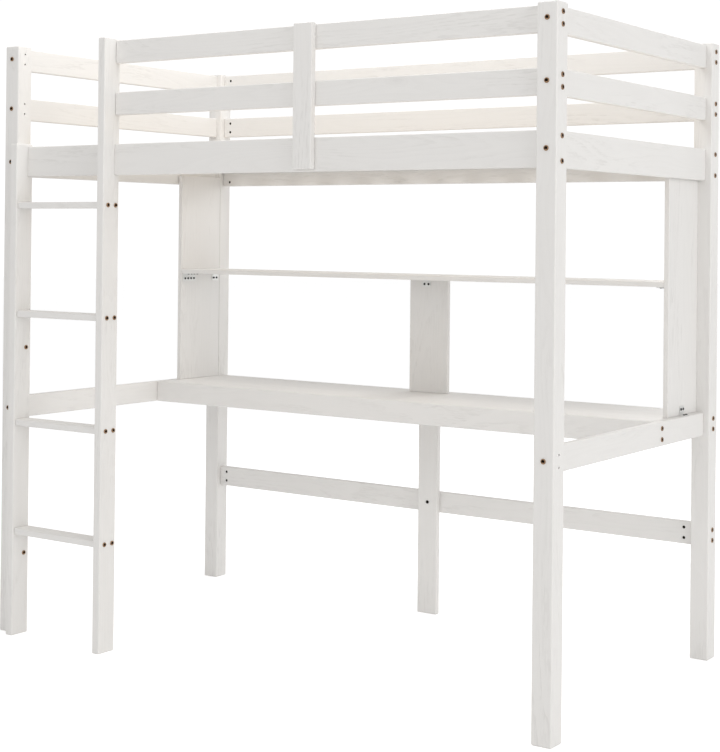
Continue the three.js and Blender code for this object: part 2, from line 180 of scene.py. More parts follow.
def add_node(tree, kind, settings=None, inputs=None):
    """A node of a kind, with attributes and inputs set. An input may be a value or a socket."""
    node = tree.nodes.new(kind)
    for name, value in (settings or {}).items():
        setattr(node, name, value)
    for name, value in (inputs or {}).items():
        feed(tree, node.inputs[name], value)
    return node


def maths(tree, operation, *values, clamp=False):
    """The output of a maths node fed by values or sockets."""
    node = add_node(tree, "ShaderNodeMath", {"operation": operation, "use_clamp": clamp})
    for socket, value in zip(node.inputs, values):
        feed(tree, socket, value)
    return node.outputs[0]


def map_range(tree, value, low, high, to_low=0.0, to_high=1.0):
    """The value moved from one range to another, held at its ends."""
    node = add_node(tree, "ShaderNodeMapRange", {"clamp": True}, {
        "Value": value, "From Min": low, "From Max": high, "To Min": to_low, "To Max": to_high})
    return node.outputs["Result"]


MIX_FACTOR, MIX_FIRST, MIX_SECOND = 0, 6, 7   # the Mix node's sockets for colours
MIX_RESULT = 2


def mix_colour(tree, factor, first, second):
    """A blend of two colours; factor 0 gives the first."""
    inputs = {MIX_FACTOR: factor, MIX_FIRST: first, MIX_SECOND: second}
    return add_node(tree, "ShaderNodeMix", {"data_type": "RGBA"}, inputs).outputs[MIX_RESULT]


def new_group(name, inputs, outputs):
    """An empty node group with its sockets: (tree, input node, output node)."""
    tree = bpy.data.node_groups.new(name, "ShaderNodeTree")
    for label, kind, default in inputs:
        socket = tree.interface.new_socket(label, in_out="INPUT", socket_type=kind)
        if default is not None:
            socket.default_value = default
    for label, kind in outputs:
        tree.interface.new_socket(label, in_out="OUTPUT", socket_type=kind)
    return tree, tree.nodes.new("NodeGroupInput"), tree.nodes.new("NodeGroupOutput")


def use_group(tree, group, inputs):
    """The group placed in a material, with its inputs set."""
    return add_node(tree, "ShaderNodeGroup", {"node_tree": group}, inputs)

# %% [markdown]
# ## Wood grain
#
# A board shows its tree's yearly rings as long lines that close into arches, because the
# saw never runs quite along the trunk. A slow noise, drawn out along the board, has just
# such a shape: its contour lines are long arches. So the noise is multiplied up and only
# the part after the decimal point is kept. Each ring then darkens slowly and ends sharply.
# A finer noise breaks the rings into short dashes: these are the pores, which paint fills
# but never quite hides. They show in patches, where the brush went lightly. A very fine
# noise gives the fibres, and a cell pattern the few small knots.

# %% Wood grain group
# How often each pattern repeats in a metre, along the board and then across it.
KNOT_CELLS = (1.9, 5.0, 5.0)
RING_WAVES = (0.8, 7.0, 7.0)
PORE_DASHES = (34.0, 210.0, 210.0)
PORE_PATCHES = (2.6, 13.0, 13.0)
KNOT_REACH = 0.16       # a knot's radius, as a share of its cell
KNOT_BULGE = 0.10       # how far a knot bends the rings around it
RING_CLIMB = 2.2        # above 1, a ring darkens late
FIBRE_STRETCH = 0.03    # how slowly the fibres change along the board


def build_grain_group():
    """Ring, pore, fibre and knot masks for wood whose length runs along the vector's X."""
    tree, given, result = new_group(
        "wood_grain",
        [("Vector", VECTOR, None), ("Rings", FLOAT, 12.0), ("Fibres", FLOAT, 420.0),
         ("Knots", FLOAT, 0.5)],
        [("Ring", FLOAT), ("Pore", FLOAT), ("Fibre", FLOAT), ("Knot", FLOAT)])
    vector = given.outputs["Vector"]

    def stretched_noise(scale, detail, roughness, distortion=0.0):
        mapped = add_node(tree, "ShaderNodeMapping", inputs={"Vector": vector, "Scale": scale})
        noise = add_node(tree, "ShaderNodeTexNoise", inputs={
            "Vector": mapped.outputs[0], "Scale": 1.0, "Detail": detail,
            "Roughness": roughness, "Distortion": distortion})
        return noise.outputs["Fac"]

    cells = add_node(tree, "ShaderNodeMapping", inputs={"Vector": vector, "Scale": KNOT_CELLS})
    knots = add_node(tree, "ShaderNodeTexVoronoi", {"feature": "F1"},
                     {"Vector": cells.outputs[0], "Scale": 1.0, "Randomness": 1.0})
    reach = maths(tree, "MULTIPLY", given.outputs["Knots"], KNOT_REACH)
    away = maths(tree, "DIVIDE", knots.outputs["Distance"], reach)
    knot = maths(tree, "SUBTRACT", 1.0, away, clamp=True)

    slow = stretched_noise(RING_WAVES, detail=2.5, roughness=0.45, distortion=0.3)
    bulge = maths(tree, "MULTIPLY_ADD", knot, KNOT_BULGE, slow)
    phase = maths(tree, "FRACT", maths(tree, "MULTIPLY", bulge, given.outputs["Rings"]))
    falling = map_range(tree, phase, 0.9, 1.0, 1.0, 0.0)
    ring = maths(tree, "MULTIPLY", maths(tree, "POWER", phase, RING_CLIMB), falling)

    dashes = map_range(tree, stretched_noise(PORE_DASHES, 1.0, 0.5), 0.46, 0.62)
    patches = map_range(tree, stretched_noise(PORE_PATCHES, 2.0, 0.5), 0.46, 0.66)
    late = map_range(tree, phase, 0.25, 0.8)
    pore = maths(tree, "MULTIPLY", maths(tree, "MULTIPLY", dashes, late), patches)

    spun = add_node(tree, "ShaderNodeCombineXYZ", inputs={
        "X": maths(tree, "MULTIPLY", given.outputs["Fibres"], FIBRE_STRETCH),
        "Y": given.outputs["Fibres"], "Z": given.outputs["Fibres"]})
    drawn = add_node(tree, "ShaderNodeVectorMath", {"operation": "MULTIPLY"})
    tree.links.new(vector, drawn.inputs[0])
    tree.links.new(spun.outputs[0], drawn.inputs[1])
    fine = add_node(tree, "ShaderNodeTexNoise", inputs={
        "Vector": drawn.outputs[0], "Scale": 1.0, "Detail": 3.0, "Roughness": 0.6})

    tree.links.new(ring, result.inputs["Ring"])
    tree.links.new(pore, result.inputs["Pore"])
    tree.links.new(map_range(tree, fine.outputs["Fac"], 0.3, 0.75), result.inputs["Fibre"])
    tree.links.new(maths(tree, "POWER", knot, 1.5), result.inputs["Knot"])
    return tree


GRAIN = build_grain_group()
print("grain group:", len(GRAIN.nodes), "nodes")

# %% [markdown]
# ## Edge wear
#
# Paint pulls thin on a corner and is rubbed there first. The Bevel node gives the normal
# that the surface would have if its edges were rounded over a few millimetres. Where that
# differs from the true normal, the point is near an edge. A noise breaks the line up. Wear
# could be painted on by hand, but this finds every edge by itself, those of bores too.

# %% Edge wear group


def build_edge_group():
    """How much a point is on a worn edge, from 0 to 1."""
    tree, given, result = new_group(
        "edge_wear",
        [("Vector", VECTOR, None), ("Width", FLOAT, 0.0025), ("Amount", FLOAT, 0.5)],
        [("Edge", FLOAT), ("Worn", FLOAT)])
    rounded = add_node(tree, "ShaderNodeBevel", {"samples": 3}, {"Radius": given.outputs["Width"]})
    geometry = tree.nodes.new("ShaderNodeNewGeometry")
    alike = add_node(tree, "ShaderNodeVectorMath", {"operation": "DOT_PRODUCT"})
    tree.links.new(rounded.outputs[0], alike.inputs[0])
    tree.links.new(geometry.outputs["True Normal"], alike.inputs[1])
    edge = map_range(tree, alike.outputs["Value"], 0.995, 0.88)
    patches = add_node(tree, "ShaderNodeTexNoise", inputs={
        "Vector": given.outputs["Vector"], "Scale": 23.0, "Detail": 4.0, "Roughness": 0.65})
    broken = map_range(tree, patches.outputs["Fac"], 0.45, 0.75)
    worn = maths(tree, "MULTIPLY", maths(tree, "MULTIPLY", edge, broken), given.outputs["Amount"])
    tree.links.new(edge, result.inputs["Edge"])
    tree.links.new(worn, result.inputs["Worn"])
    return tree


EDGE = build_edge_group()
print("edge wear group:", len(EDGE.nodes), "nodes")

# %% [markdown]
# ## Handling marks
#
# No painted board is even all over. The film is a little thicker here and glossier there,
# and faint dust lies where a surface looks up. This group gives both as masks, so that
# paint, bare wood and metal share them with their own strengths.

# %% Handling group


def build_handling_group():
    """A slow mottle and a dust mask."""
    tree, given, result = new_group(
        "handling",
        [("Vector", VECTOR, None), ("Scale", FLOAT, 5.0)],
        [("Mottle", FLOAT), ("Dust", FLOAT)])
    mottle = add_node(tree, "ShaderNodeTexNoise", inputs={
        "Vector": given.outputs["Vector"], "Scale": given.outputs["Scale"],
        "Detail": 5.0, "Roughness": 0.6})
    geometry = tree.nodes.new("ShaderNodeNewGeometry")
    facing = add_node(tree, "ShaderNodeSeparateXYZ", inputs={"Vector": geometry.outputs["Normal"]})
    specks = add_node(tree, "ShaderNodeTexNoise", inputs={
        "Vector": given.outputs["Vector"], "Scale": 60.0, "Detail": 6.0, "Roughness": 0.7})
    up = map_range(tree, facing.outputs["Z"], 0.6, 1.0)
    dust = maths(tree, "MULTIPLY", up, map_range(tree, specks.outputs["Fac"], 0.4, 0.8))
    tree.links.new(map_range(tree, mottle.outputs["Fac"], 0.3, 0.7), result.inputs["Mottle"])
    tree.links.new(dust, result.inputs["Dust"])
    return tree


HANDLING = build_handling_group()
print("handling group:", len(HANDLING.nodes), "nodes")

# %% [markdown]
# ## White paint on softwood
#
# The real finish is a brushed or sprayed white coat thin enough for the grain to stay in
# relief: late wood stands up, pores sink, and both show as faint grey lines. The grain has
# to run along each board, so the paint comes in three, one for each way that a board can
# lie. A Mapping node turns the object coordinates so that the board's length is X.

# %% White paint
PAINT = (0.802, 0.786, 0.764, 1)
PAINT_IN_PORES = (0.63, 0.612, 0.588, 1)
WOOD_UNDER_PAINT = (0.72, 0.63, 0.50, 1)
PAINT_LINES = {"Pore": 0.34, "Fibre": 0.07, "Knot": 0.30}   # how much each mask greys the paint
PAINT_RING = 0.09
PAINT_MOTTLE = 0.06
PAINT_ROUGHNESS = 0.42
PAINT_RELIEF = 0.00022
ALONG = {
    "x": (0, 0, 0),
    "y": (0, 0, -math.pi / 2),
    "z": (0, math.pi / 2, 0),
}


def new_material(name):
    """A material with its node tree and its Principled shader."""
    material = bpy.data.materials.new(name)
    material.use_nodes = True
    return material, material.node_tree, material.node_tree.nodes["Principled BSDF"]


def along_board(tree, way):
    """Object coordinates, turned so that X runs along the board."""
    coordinates = tree.nodes.new("ShaderNodeTexCoord")
    turned = add_node(tree, "ShaderNodeMapping", inputs={
        "Vector": coordinates.outputs["Object"], "Rotation": ALONG[way]})
    return turned.outputs[0]


def relief(tree, shader, height, distance):
    """A bump from a height in the range 0 to 1, distance in metres."""
    bump = add_node(tree, "ShaderNodeBump", inputs={
        "Height": height, "Distance": distance, "Strength": 1.0})
    tree.links.new(bump.outputs[0], shader.inputs["Normal"])


def white_paint(way):
    """Satin white paint on wood that lies along X, Y or Z."""
    material, tree, shader = new_material(f"white_paint_{way}")
    place = along_board(tree, way)
    grain = use_group(tree, GRAIN, {"Vector": place, "Rings": 21.0, "Fibres": 430.0, "Knots": 0.6})
    edge = use_group(tree, EDGE, {"Vector": place, "Width": 0.0022, "Amount": 0.35})
    marks = use_group(tree, HANDLING, {"Vector": place, "Scale": 3.5})

    lines = maths(tree, "MULTIPLY", grain.outputs["Ring"], PAINT_RING)
    for mask, amount in PAINT_LINES.items():
        lines = maths(tree, "MULTIPLY_ADD", grain.outputs[mask], amount, lines, clamp=True)
    colour = mix_colour(tree, lines, PAINT, PAINT_IN_PORES)
    shade = maths(tree, "MULTIPLY", marks.outputs["Mottle"], PAINT_MOTTLE)
    colour = mix_colour(tree, shade, colour, PAINT_IN_PORES)
    colour = mix_colour(tree, edge.outputs["Worn"], colour, WOOD_UNDER_PAINT)
    tree.links.new(colour, shader.inputs["Base Color"])

    rough = maths(tree, "MULTIPLY_ADD", marks.outputs["Mottle"], 0.10, PAINT_ROUGHNESS)
    rough = maths(tree, "MULTIPLY_ADD", marks.outputs["Dust"], 0.12, rough)
    tree.links.new(rough, shader.inputs["Roughness"])
    shader.inputs["IOR"].default_value = 1.46

    height = maths(tree, "MULTIPLY_ADD", grain.outputs["Pore"], -1.0,
                   maths(tree, "MULTIPLY", grain.outputs["Fibre"], -0.3))
    relief(tree, shader, height, PAINT_RELIEF)
    return material


PAINTS = {way: white_paint(way) for way in ALONG}
print("paints:", [m.name for m in PAINTS.values()])

# %% [markdown]
# ## Bare pine
#
# The slats are planed and left bare. Pine is pale straw with darker, redder late wood and
# small brown knots. An image of pine would repeat from slat to slat. The grain group has
# more contrast here, and works from each slat's own place, so no two slats are alike.

# %% Bare pine
PINE_EARLY = (0.76, 0.66, 0.52, 1)
PINE_LATE = (0.58, 0.44, 0.29, 1)
PINE_KNOT = (0.30, 0.15, 0.07, 1)
PINE_STREAKS = 0.25
PINE_ROUGHNESS = 0.55
PINE_RELIEF = 0.0003


def bare_pine():
    """Planed pine lying along Y."""
    material, tree, shader = new_material("bare_pine")
    place = along_board(tree, "y")
    grain = use_group(tree, GRAIN, {"Vector": place, "Rings": 17.0, "Fibres": 380.0, "Knots": 1.0})
    marks = use_group(tree, HANDLING, {"Vector": place, "Scale": 4.0})
    colour = mix_colour(tree, grain.outputs["Ring"], PINE_EARLY, PINE_LATE)
    streaks = maths(tree, "MULTIPLY", grain.outputs["Fibre"], PINE_STREAKS)
    colour = mix_colour(tree, streaks, colour, PINE_LATE)
    colour = mix_colour(tree, grain.outputs["Knot"], colour, PINE_KNOT)
    tree.links.new(colour, shader.inputs["Base Color"])
    rough = maths(tree, "MULTIPLY_ADD", marks.outputs["Mottle"], 0.15, PINE_ROUGHNESS)
    tree.links.new(rough, shader.inputs["Roughness"])
    height = maths(tree, "SUBTRACT", grain.outputs["Ring"], grain.outputs["Fibre"])
    relief(tree, shader, height, PINE_RELIEF)
    return material


PINE = bare_pine()
print("bare wood:", PINE.name)

# %% [markdown]
# ## Metal finishes
#
# The bolts are steel with an antique bronze plating, rubbed back to a coppery shine on the
# faces. Their hollows get painted shade: a near-black colour stands in for the shadow in a
# socket or slot. The barrel nuts and the desk leg's bolt are painted near-black all over, as
# painted shade for the shadow they sit in. The brackets are bright zinc, and the wood screws
# are zinc blackened by an oil finish. All have the same build and differ in their colours.
# A hollow is marked on the mesh itself, by a face attribute that is written when the socket
# or slot is cut, and the material paints shade on it.

# %% Metals
HOLLOW = "hollow"
# Painted shade: the near-black colour that hollows get in place of their shadow.
HOLLOW_SHADE_COLOUR = (0.012, 0.009, 0.007, 1)
METAL_EDGE = 0.0006
METAL_RELIEF = 0.00004
SCRATCHES = 900.0


def plated_metal(name, base, rubbed, roughness, scatter):
    """Plated steel, brighter on its edges, with painted shade in its hollows."""
    material, tree, shader = new_material(name)
    coordinates = tree.nodes.new("ShaderNodeTexCoord")
    place = coordinates.outputs["Object"]
    edge = use_group(tree, EDGE, {"Vector": place, "Width": METAL_EDGE, "Amount": 1.0})
    marks = use_group(tree, HANDLING, {"Vector": place, "Scale": scatter})
    rub = maths(tree, "MULTIPLY_ADD", edge.outputs["Edge"], 0.6,
                maths(tree, "MULTIPLY", marks.outputs["Mottle"], 0.25), clamp=True)
    hollow = add_node(tree, "ShaderNodeAttribute", {
        "attribute_type": "GEOMETRY", "attribute_name": HOLLOW})
    plated = mix_colour(tree, rub, base, rubbed)
    # The marked hollows are painted near-black, as painted shade for a socket, slot or recess.
    colour = mix_colour(tree, hollow.outputs["Fac"], plated, HOLLOW_SHADE_COLOUR)
    tree.links.new(colour, shader.inputs["Base Color"])
    rough = maths(tree, "MULTIPLY_ADD", marks.outputs["Mottle"], 0.2, roughness)
    tree.links.new(rough, shader.inputs["Roughness"])
    shader.inputs["Metallic"].default_value = 1.0
    scratches = add_node(tree, "ShaderNodeTexNoise", inputs={
        "Vector": place, "Scale": SCRATCHES, "Detail": 3.0, "Roughness": 0.6})
    relief(tree, shader, scratches.outputs["Fac"], METAL_RELIEF)
    return material


BRONZE = plated_metal(
    "antique_bronze", base=(0.32, 0.20, 0.12, 1), rubbed=(0.58, 0.39, 0.24, 1),
    roughness=0.36, scatter=240.0)
# Painted shade: a near-black bronze for the barrel nuts and the leg bolt, standing in for the
# shadow that they sit in.
BRONZE_PAINTED_AS_SHADE = plated_metal(
    "bronze_painted_as_shade", base=(0.012, 0.010, 0.008, 1), rubbed=(0.05, 0.037, 0.024, 1),
    roughness=0.5, scatter=240.0)
ZINC = plated_metal(
    "zinc", base=(0.80, 0.80, 0.785, 1), rubbed=(0.88, 0.88, 0.87, 1),
    roughness=0.46, scatter=180.0)
BLACK_ZINC = plated_metal(
    "black_zinc", base=(0.025, 0.025, 0.024, 1), rubbed=(0.13, 0.13, 0.125, 1),
    roughness=0.4, scatter=300.0)
print("metals:", [m.name for m in (BRONZE, BRONZE_PAINTED_AS_SHADE, ZINC, BLACK_ZINC)])

# %% [markdown]
# ## Floor finish
#
# The floor of a lit sweep is matt and almost white. It is made to glow where it is seen,
# so that it meets the world without a line and the feet still draw soft shadows on it. A
# Light Path node tells the eye's rays from the rest, so that little of that glow falls on
# the bed from below.

# %% Floor finish
FLOOR_PALE = (0.93, 0.93, 0.93, 1)
FLOOR_DULL = (0.91, 0.91, 0.91, 1)
GLOW_SEEN = 0.46
GLOW_CAST = 0.11


def floor_finish():
    """A pale matt floor that is seen to glow, but casts little of that glow on the bed."""
    material, tree, shader = new_material("pale_floor")
    coordinates = tree.nodes.new("ShaderNodeTexCoord")
    marks = use_group(tree, HANDLING, {"Vector": coordinates.outputs["Object"], "Scale": 1.5})
    pale = mix_colour(tree, marks.outputs["Mottle"], FLOOR_PALE, FLOOR_DULL)
    tree.links.new(pale, shader.inputs["Base Color"])
    shader.inputs["Roughness"].default_value = 0.9
    shader.inputs["Specular IOR Level"].default_value = 0.1
    shader.inputs["Emission Color"].default_value = (1, 1, 1, 1)
    ray = tree.nodes.new("ShaderNodeLightPath")
    glow = map_range(tree, ray.outputs["Is Camera Ray"], 0.0, 1.0, GLOW_CAST, GLOW_SEEN)
    tree.links.new(glow, shader.inputs["Emission Strength"])
    return material


floor.data.materials.append(floor_finish())
print("floor:", FLOOR_RADIUS, "m in radius, glowing", GLOW_SEEN)

# %% [markdown]
# ## Finishing the boards
#
# The boards keep the shape that they were cut to. They could be unwrapped and painted one
# by one, but the paints work in space, so each board only has to take the one that runs its
# way, found from its longest side. The slats stay bare, and the angle brackets are zinc.

# %% Boards


def longest_way(name):
    """x, y or z: the way that a board lies."""
    low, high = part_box(name)
    sides = list(high - low)
    return "xyz"[sides.index(max(sides))]


def finish_with(obj, material):
    """Gives the piece this one material."""
    obj.data.materials.clear()
    obj.data.materials.append(material)


counts = {"x": 0, "y": 0, "z": 0}
for name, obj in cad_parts.items():
    if "bracket" in name:
        finish_with(obj, ZINC)
    elif name.startswith("bed_slat"):
        finish_with(obj, PINE)
    else:
        way = longest_way(name)
        counts[way] += 1
        finish_with(obj, PAINTS[way])
print("painted boards by the way they lie:", counts)

# %% [markdown]
# ## Modelling helpers
#
# The metal parts are modelled as by hand: a primitive, then edit mode. An operator works on
# whatever is selected, so these helpers select faces or edges by where they are.

# %% Modelling helpers
SAME_HEIGHT = 1e-6
SLACK = 0.0001                      # room around a cut when its faces are looked for
SMOOTH_UNDER = math.radians(35)     # edges that turn less than this are shaded smooth


def start_clean():
    """Deselects everything, so that the next operator acts on what it should."""
    bpy.ops.object.select_all(action="DESELECT")


def cylinder(name, radius, depth, vertices, place=(0, 0, 0), turn=(0, 0, 0)):
    """A cylinder whose middle is at place."""
    start_clean()
    bpy.ops.mesh.primitive_cylinder_add(
        vertices=vertices, radius=radius, depth=depth, location=place, rotation=turn)
    obj = bpy.context.active_object
    obj.name = name
    bpy.ops.object.transform_apply(location=True, rotation=True, scale=True)
    return obj


def block(name, size, place):
    """A box of a size with its middle at place."""
    start_clean()
    bpy.ops.mesh.primitive_cube_add(size=1, location=place)
    obj = bpy.context.active_object
    obj.name = name
    obj.scale = size
    bpy.ops.object.transform_apply(location=True, rotation=True, scale=True)
    return obj


def edit(obj, kind, chosen):
    """Enters edit mode with only the chosen faces or edges selected."""
    start_clean()
    obj.select_set(True)
    bpy.context.view_layer.objects.active = obj
    bpy.ops.object.mode_set(mode="EDIT")
    bpy.ops.mesh.select_mode(type=kind)
    bpy.ops.mesh.select_all(action="DESELECT")
    bpy.ops.object.mode_set(mode="OBJECT")
    elements = obj.data.polygons if kind == "FACE" else obj.data.edges
    for element in elements:
        element.select = chosen(obj.data, element)
    bpy.ops.object.mode_set(mode="EDIT")


def leave():
    """Goes back to object mode."""
    bpy.ops.object.mode_set(mode="OBJECT")


def at_height(*heights):
    """Chooses elements whose points all lie at one of the heights."""
    def chosen(mesh, element):
        points = [mesh.vertices[i].co.z for i in element.vertices]
        return any(all(abs(z - height) < SAME_HEIGHT for z in points) for height in heights)
    return chosen


def cut(obj, cutter):
    """Takes the cutter's shape out of obj, and clears the cutter away."""
    modifier = obj.modifiers.new("cut", "BOOLEAN")
    modifier.operation = "DIFFERENCE"
    modifier.solver = "EXACT"
    modifier.object = cutter
    start_clean()
    obj.select_set(True)
    bpy.context.view_layer.objects.active = obj
    bpy.ops.object.modifier_apply(modifier=modifier.name)
    bpy.data.objects.remove(cutter, do_unlink=True)


def mark_hollow(obj, inside):
    """Writes 1 on the faces for which inside(centre, normal) is true, and 0 on the rest."""
    attribute = obj.data.attributes.new(HOLLOW, "FLOAT", "FACE")
    for face in obj.data.polygons:
        attribute.data[face.index].value = 1.0 if inside(face.center, face.normal) else 0.0


def settle(obj):
    """Merges doubles, turns the faces outwards and smooths the round ones."""
    edit(obj, "FACE", lambda mesh, element: True)
    bpy.ops.mesh.remove_doubles(threshold=0.000002)
    bpy.ops.mesh.normals_make_consistent(inside=False)
    leave()
    bpy.ops.object.shade_smooth_by_angle(angle=SMOOTH_UNDER)


# %% [markdown]
# ## The bolt
#
# A furniture bolt has a thin, wide head with a rounded rim and a hexagon socket, and a
# long shank that crosses the post and runs into the rail. It is modelled standing up, with
# the head's underside at height zero, so that it can be copied onto any face. A shorter one
# ties the ladder's short stile to the post, and ends inside the post. A small one, as long
# as two boards are thick, holds the desk's centre leg. The head could be lathed from a
# profile, but a cylinder needs only a bevel and an inset. The socket is cut last, with a
# six-sided bar, so that the other steps don't have to work around it.

# %% Bolt model
HEAD_RADIUS = 0.0070
SMALL_HEAD_RADIUS = 0.0054
HEAD_THICK = 0.0024
SHANK_RADIUS = 0.0030
LONG_SHANK = 0.092
SHORT_SHANK = 0.074
SHORTEST_SHANK = 0.036
SOCKET_RADIUS = 0.0031
SOCKET_DEPTH = 0.0019
RIM_ROUNDING = 0.0009
DISH_SHARE = 0.22       # the head's flat rim, as a share of its radius
DISH_DEPTH = 0.00025
TIP_NARROWING = 0.0008
TIP_LENGTH = 0.0012


def model_bolt(name, head, shank):
    """A bolt along Z, its head above zero and its shank below."""
    bolt = cylinder(name, head, HEAD_THICK, 40, (0, 0, HEAD_THICK / 2))
    edit(bolt, "EDGE", at_height(HEAD_THICK))
    bpy.ops.mesh.bevel(offset=RIM_ROUNDING, segments=3)
    leave()
    edit(bolt, "FACE", at_height(HEAD_THICK))
    bpy.ops.mesh.inset(thickness=head * DISH_SHARE)
    bpy.ops.transform.translate(value=(0, 0, -DISH_DEPTH))
    leave()
    edit(bolt, "FACE", at_height(0))
    bpy.ops.mesh.inset(thickness=head - SHANK_RADIUS)
    bpy.ops.mesh.extrude_region_move(TRANSFORM_OT_translate={"value": (0, 0, -shank)})
    bpy.ops.mesh.inset(thickness=TIP_NARROWING)
    bpy.ops.transform.translate(value=(0, 0, -TIP_LENGTH))
    leave()
    socket = cylinder("socket", SOCKET_RADIUS, 2 * SOCKET_DEPTH, 6, (0, 0, HEAD_THICK))
    cut(bolt, socket)
    settle(bolt)
    socket_floor = HEAD_THICK - SOCKET_DEPTH
    mark_hollow(bolt, lambda centre, normal: (
        centre.z > socket_floor - SLACK and math.hypot(centre.x, centre.y) < SOCKET_RADIUS))
    return bolt


bolt_model = model_bolt("bolt_model", HEAD_RADIUS, LONG_SHANK)
short_bolt_model = model_bolt("short_bolt_model", HEAD_RADIUS, SHORT_SHANK)
small_bolt_model = model_bolt("small_bolt_model", SMALL_HEAD_RADIUS, SHORTEST_SHANK)
for model in (bolt_model, short_bolt_model, small_bolt_model):
    print(model.name, len(model.data.polygons), "faces")

# %% [markdown]
# ## The barrel nut
#
# A barrel nut is a short steel bar that lies across the rail. The bolt screws into its
# side. Its end has a slot, in line with the bolt, so that a screwdriver can turn the
# threaded hole to face the bolt. The end sits just below the rail's inner face. Little
# more than that end is ever seen, so a bevelled bar with two cuts is enough.

# %% Barrel nut model
NUT_RADIUS = 0.0046
NUT_LENGTH = 0.0130
NUT_SUNK = 0.0012
RAIL_THICK = 0.020
BOLT_LINE = RAIL_THICK / 2 - NUT_SUNK   # from the nut's outer end down to the bolt
NUT_ROUNDING = 0.0005
THREAD_CLEARANCE = 0.0002
SLOT = (0.0074, 0.0016, 0.0026)     # half of its height is above the nut's end


def model_nut():
    """A barrel nut along Z with its outer end at zero and its slot along X."""
    nut = cylinder("nut_model", NUT_RADIUS, NUT_LENGTH, 32, (0, 0, -NUT_LENGTH / 2))
    edit(nut, "EDGE", at_height(0, -NUT_LENGTH))
    bpy.ops.mesh.bevel(offset=NUT_ROUNDING, segments=2)
    leave()
    hole = cylinder("hole", SHANK_RADIUS + THREAD_CLEARANCE, 4 * NUT_RADIUS, 24,
                    (0, 0, -BOLT_LINE), (0, math.pi / 2, 0))
    cut(nut, hole)
    cut(nut, block("slot", SLOT, (0, 0, 0)))
    settle(nut)
    slot_side, slot_floor = SLOT[1] / 2, -SLOT[2] / 2
    mark_hollow(nut, lambda centre, normal: (
        slot_floor - SLACK < centre.z < -SLACK and abs(centre.y) < slot_side + SLACK))
    return nut


nut_model = model_nut()
print("barrel nut:", len(nut_model.data.polygons), "faces")

# %% [markdown]
# ## The wood screw
#
# Brackets, ledgers, cleats and slats are held by small pan-head screws with a cross
# recess. The head is a low dome, and the recess is two crossed slots cut into it. The
# shank is smooth: its thread is buried in the wood, and would only make the mesh heavy.

# %% Wood screw model
SCREW_RADIUS = 0.0038
SCREW_DOME = 0.0022
SCREW_SHANK = 0.0017
DOME_ROUNDING = 0.0014
THREAD_LENGTH = 0.011
POINT_LENGTH = 0.004
POINT_SHARE = 0.15      # the point's width, as a share of the shank's
RECESS_LONG, RECESS_WIDE = 0.0044, 0.0009
RECESS_DEEP = 0.0026    # half of it is above the dome
LEVEL, STEEP = 0.9, 0.5     # how far up a floor's normal points at least, and a wall's at most


def model_screw():
    """A screw along Z, its head above zero."""
    screw = cylinder("screw_model", SCREW_RADIUS, SCREW_DOME, 28, (0, 0, SCREW_DOME / 2))
    edit(screw, "EDGE", at_height(SCREW_DOME))
    bpy.ops.mesh.bevel(offset=DOME_ROUNDING, segments=4)
    leave()
    edit(screw, "FACE", at_height(0))
    bpy.ops.mesh.inset(thickness=SCREW_RADIUS - SCREW_SHANK)
    for length in (THREAD_LENGTH, POINT_LENGTH):
        bpy.ops.mesh.extrude_region_move(TRANSFORM_OT_translate={"value": (0, 0, -length)})
    bpy.ops.transform.resize(value=(POINT_SHARE, POINT_SHARE, 1))
    leave()
    for long, wide in ((RECESS_LONG, RECESS_WIDE), (RECESS_WIDE, RECESS_LONG)):
        cut(screw, block("recess", (long, wide, RECESS_DEEP), (0, 0, SCREW_DOME)))
    settle(screw)
    reach = RECESS_LONG / 2 + SLACK
    recess_floor = SCREW_DOME - RECESS_DEEP / 2

    def in_recess(centre, normal):
        if normal.z > LEVEL:
            return 0 < centre.z < recess_floor + SLACK
        within = math.hypot(centre.x, centre.y) < reach
        return within and normal.z < STEEP and centre.z > SCREW_DOME / 3

    mark_hollow(screw, in_recess)
    return screw


screw_model = model_screw()
print("screw:", len(screw_model.data.polygons), "faces")

# %% [markdown]
# ## Setting copies in place
#
# Each fastener is a copy of its model with its own mesh, moved in the mesh itself so that
# the object stays at the origin. Copies that belong together are then joined into one
# piece: some sixty bolts are handled as a few groups, not as sixty things.

# %% Setting helpers
X, Y, Z = Vector((1, 0, 0)), Vector((0, 1, 0)), Vector((0, 0, 1))
EXPOSED = 0.00015       # heads stand this far off the wood, clear of its grain


def pose(place, outward, along=None):
    """A matrix that stands a model at place, its Z outward and its X along."""
    outward = Vector(outward).normalized()
    along = Vector(along) if along else (Z if abs(outward.z) < 0.5 else X)
    side = outward.cross(along).normalized()
    along = side.cross(outward).normalized()
    turn = Matrix((along, side, outward)).transposed().to_4x4()
    return Matrix.Translation(place) @ turn


def set_group(name, model, poses, material):
    """Copies of a model at all the poses, joined into one piece that rides on the bed."""
    copies = []
    for matrix in poses:
        mesh = model.data.copy()
        mesh.transform(matrix)
        copy = bpy.data.objects.new(name, mesh)
        scene.collection.objects.link(copy)
        copies.append(copy)
    start_clean()
    for copy in copies:
        copy.select_set(True)
    bpy.context.view_layer.objects.active = copies[0]
    bpy.ops.object.join()
    group = bpy.context.active_object
    group.name = name
    finish_with(group, material)
    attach(group, ROOT)
    print(f"{name}: {len(copies)} copies")


# %% [markdown]
# ## Rail joints
#
# Every rail is held the same way at both ends. A rail along the bed has two bolts, and its
# barrel nuts show on its inner face. A rail across the bed has one bolt, which runs into a
# threaded insert in the end grain and leaves its faces whole. The head shows on the far
# face of whatever the rail butts against. So a rail's name, its bolt pitch and its two
# neighbours are all that is needed to place its fasteners.

# %% Rail joints
NARROW, WIDE, SINGLE = 0.032, 0.064, 0
NUT_FROM_END = 0.029

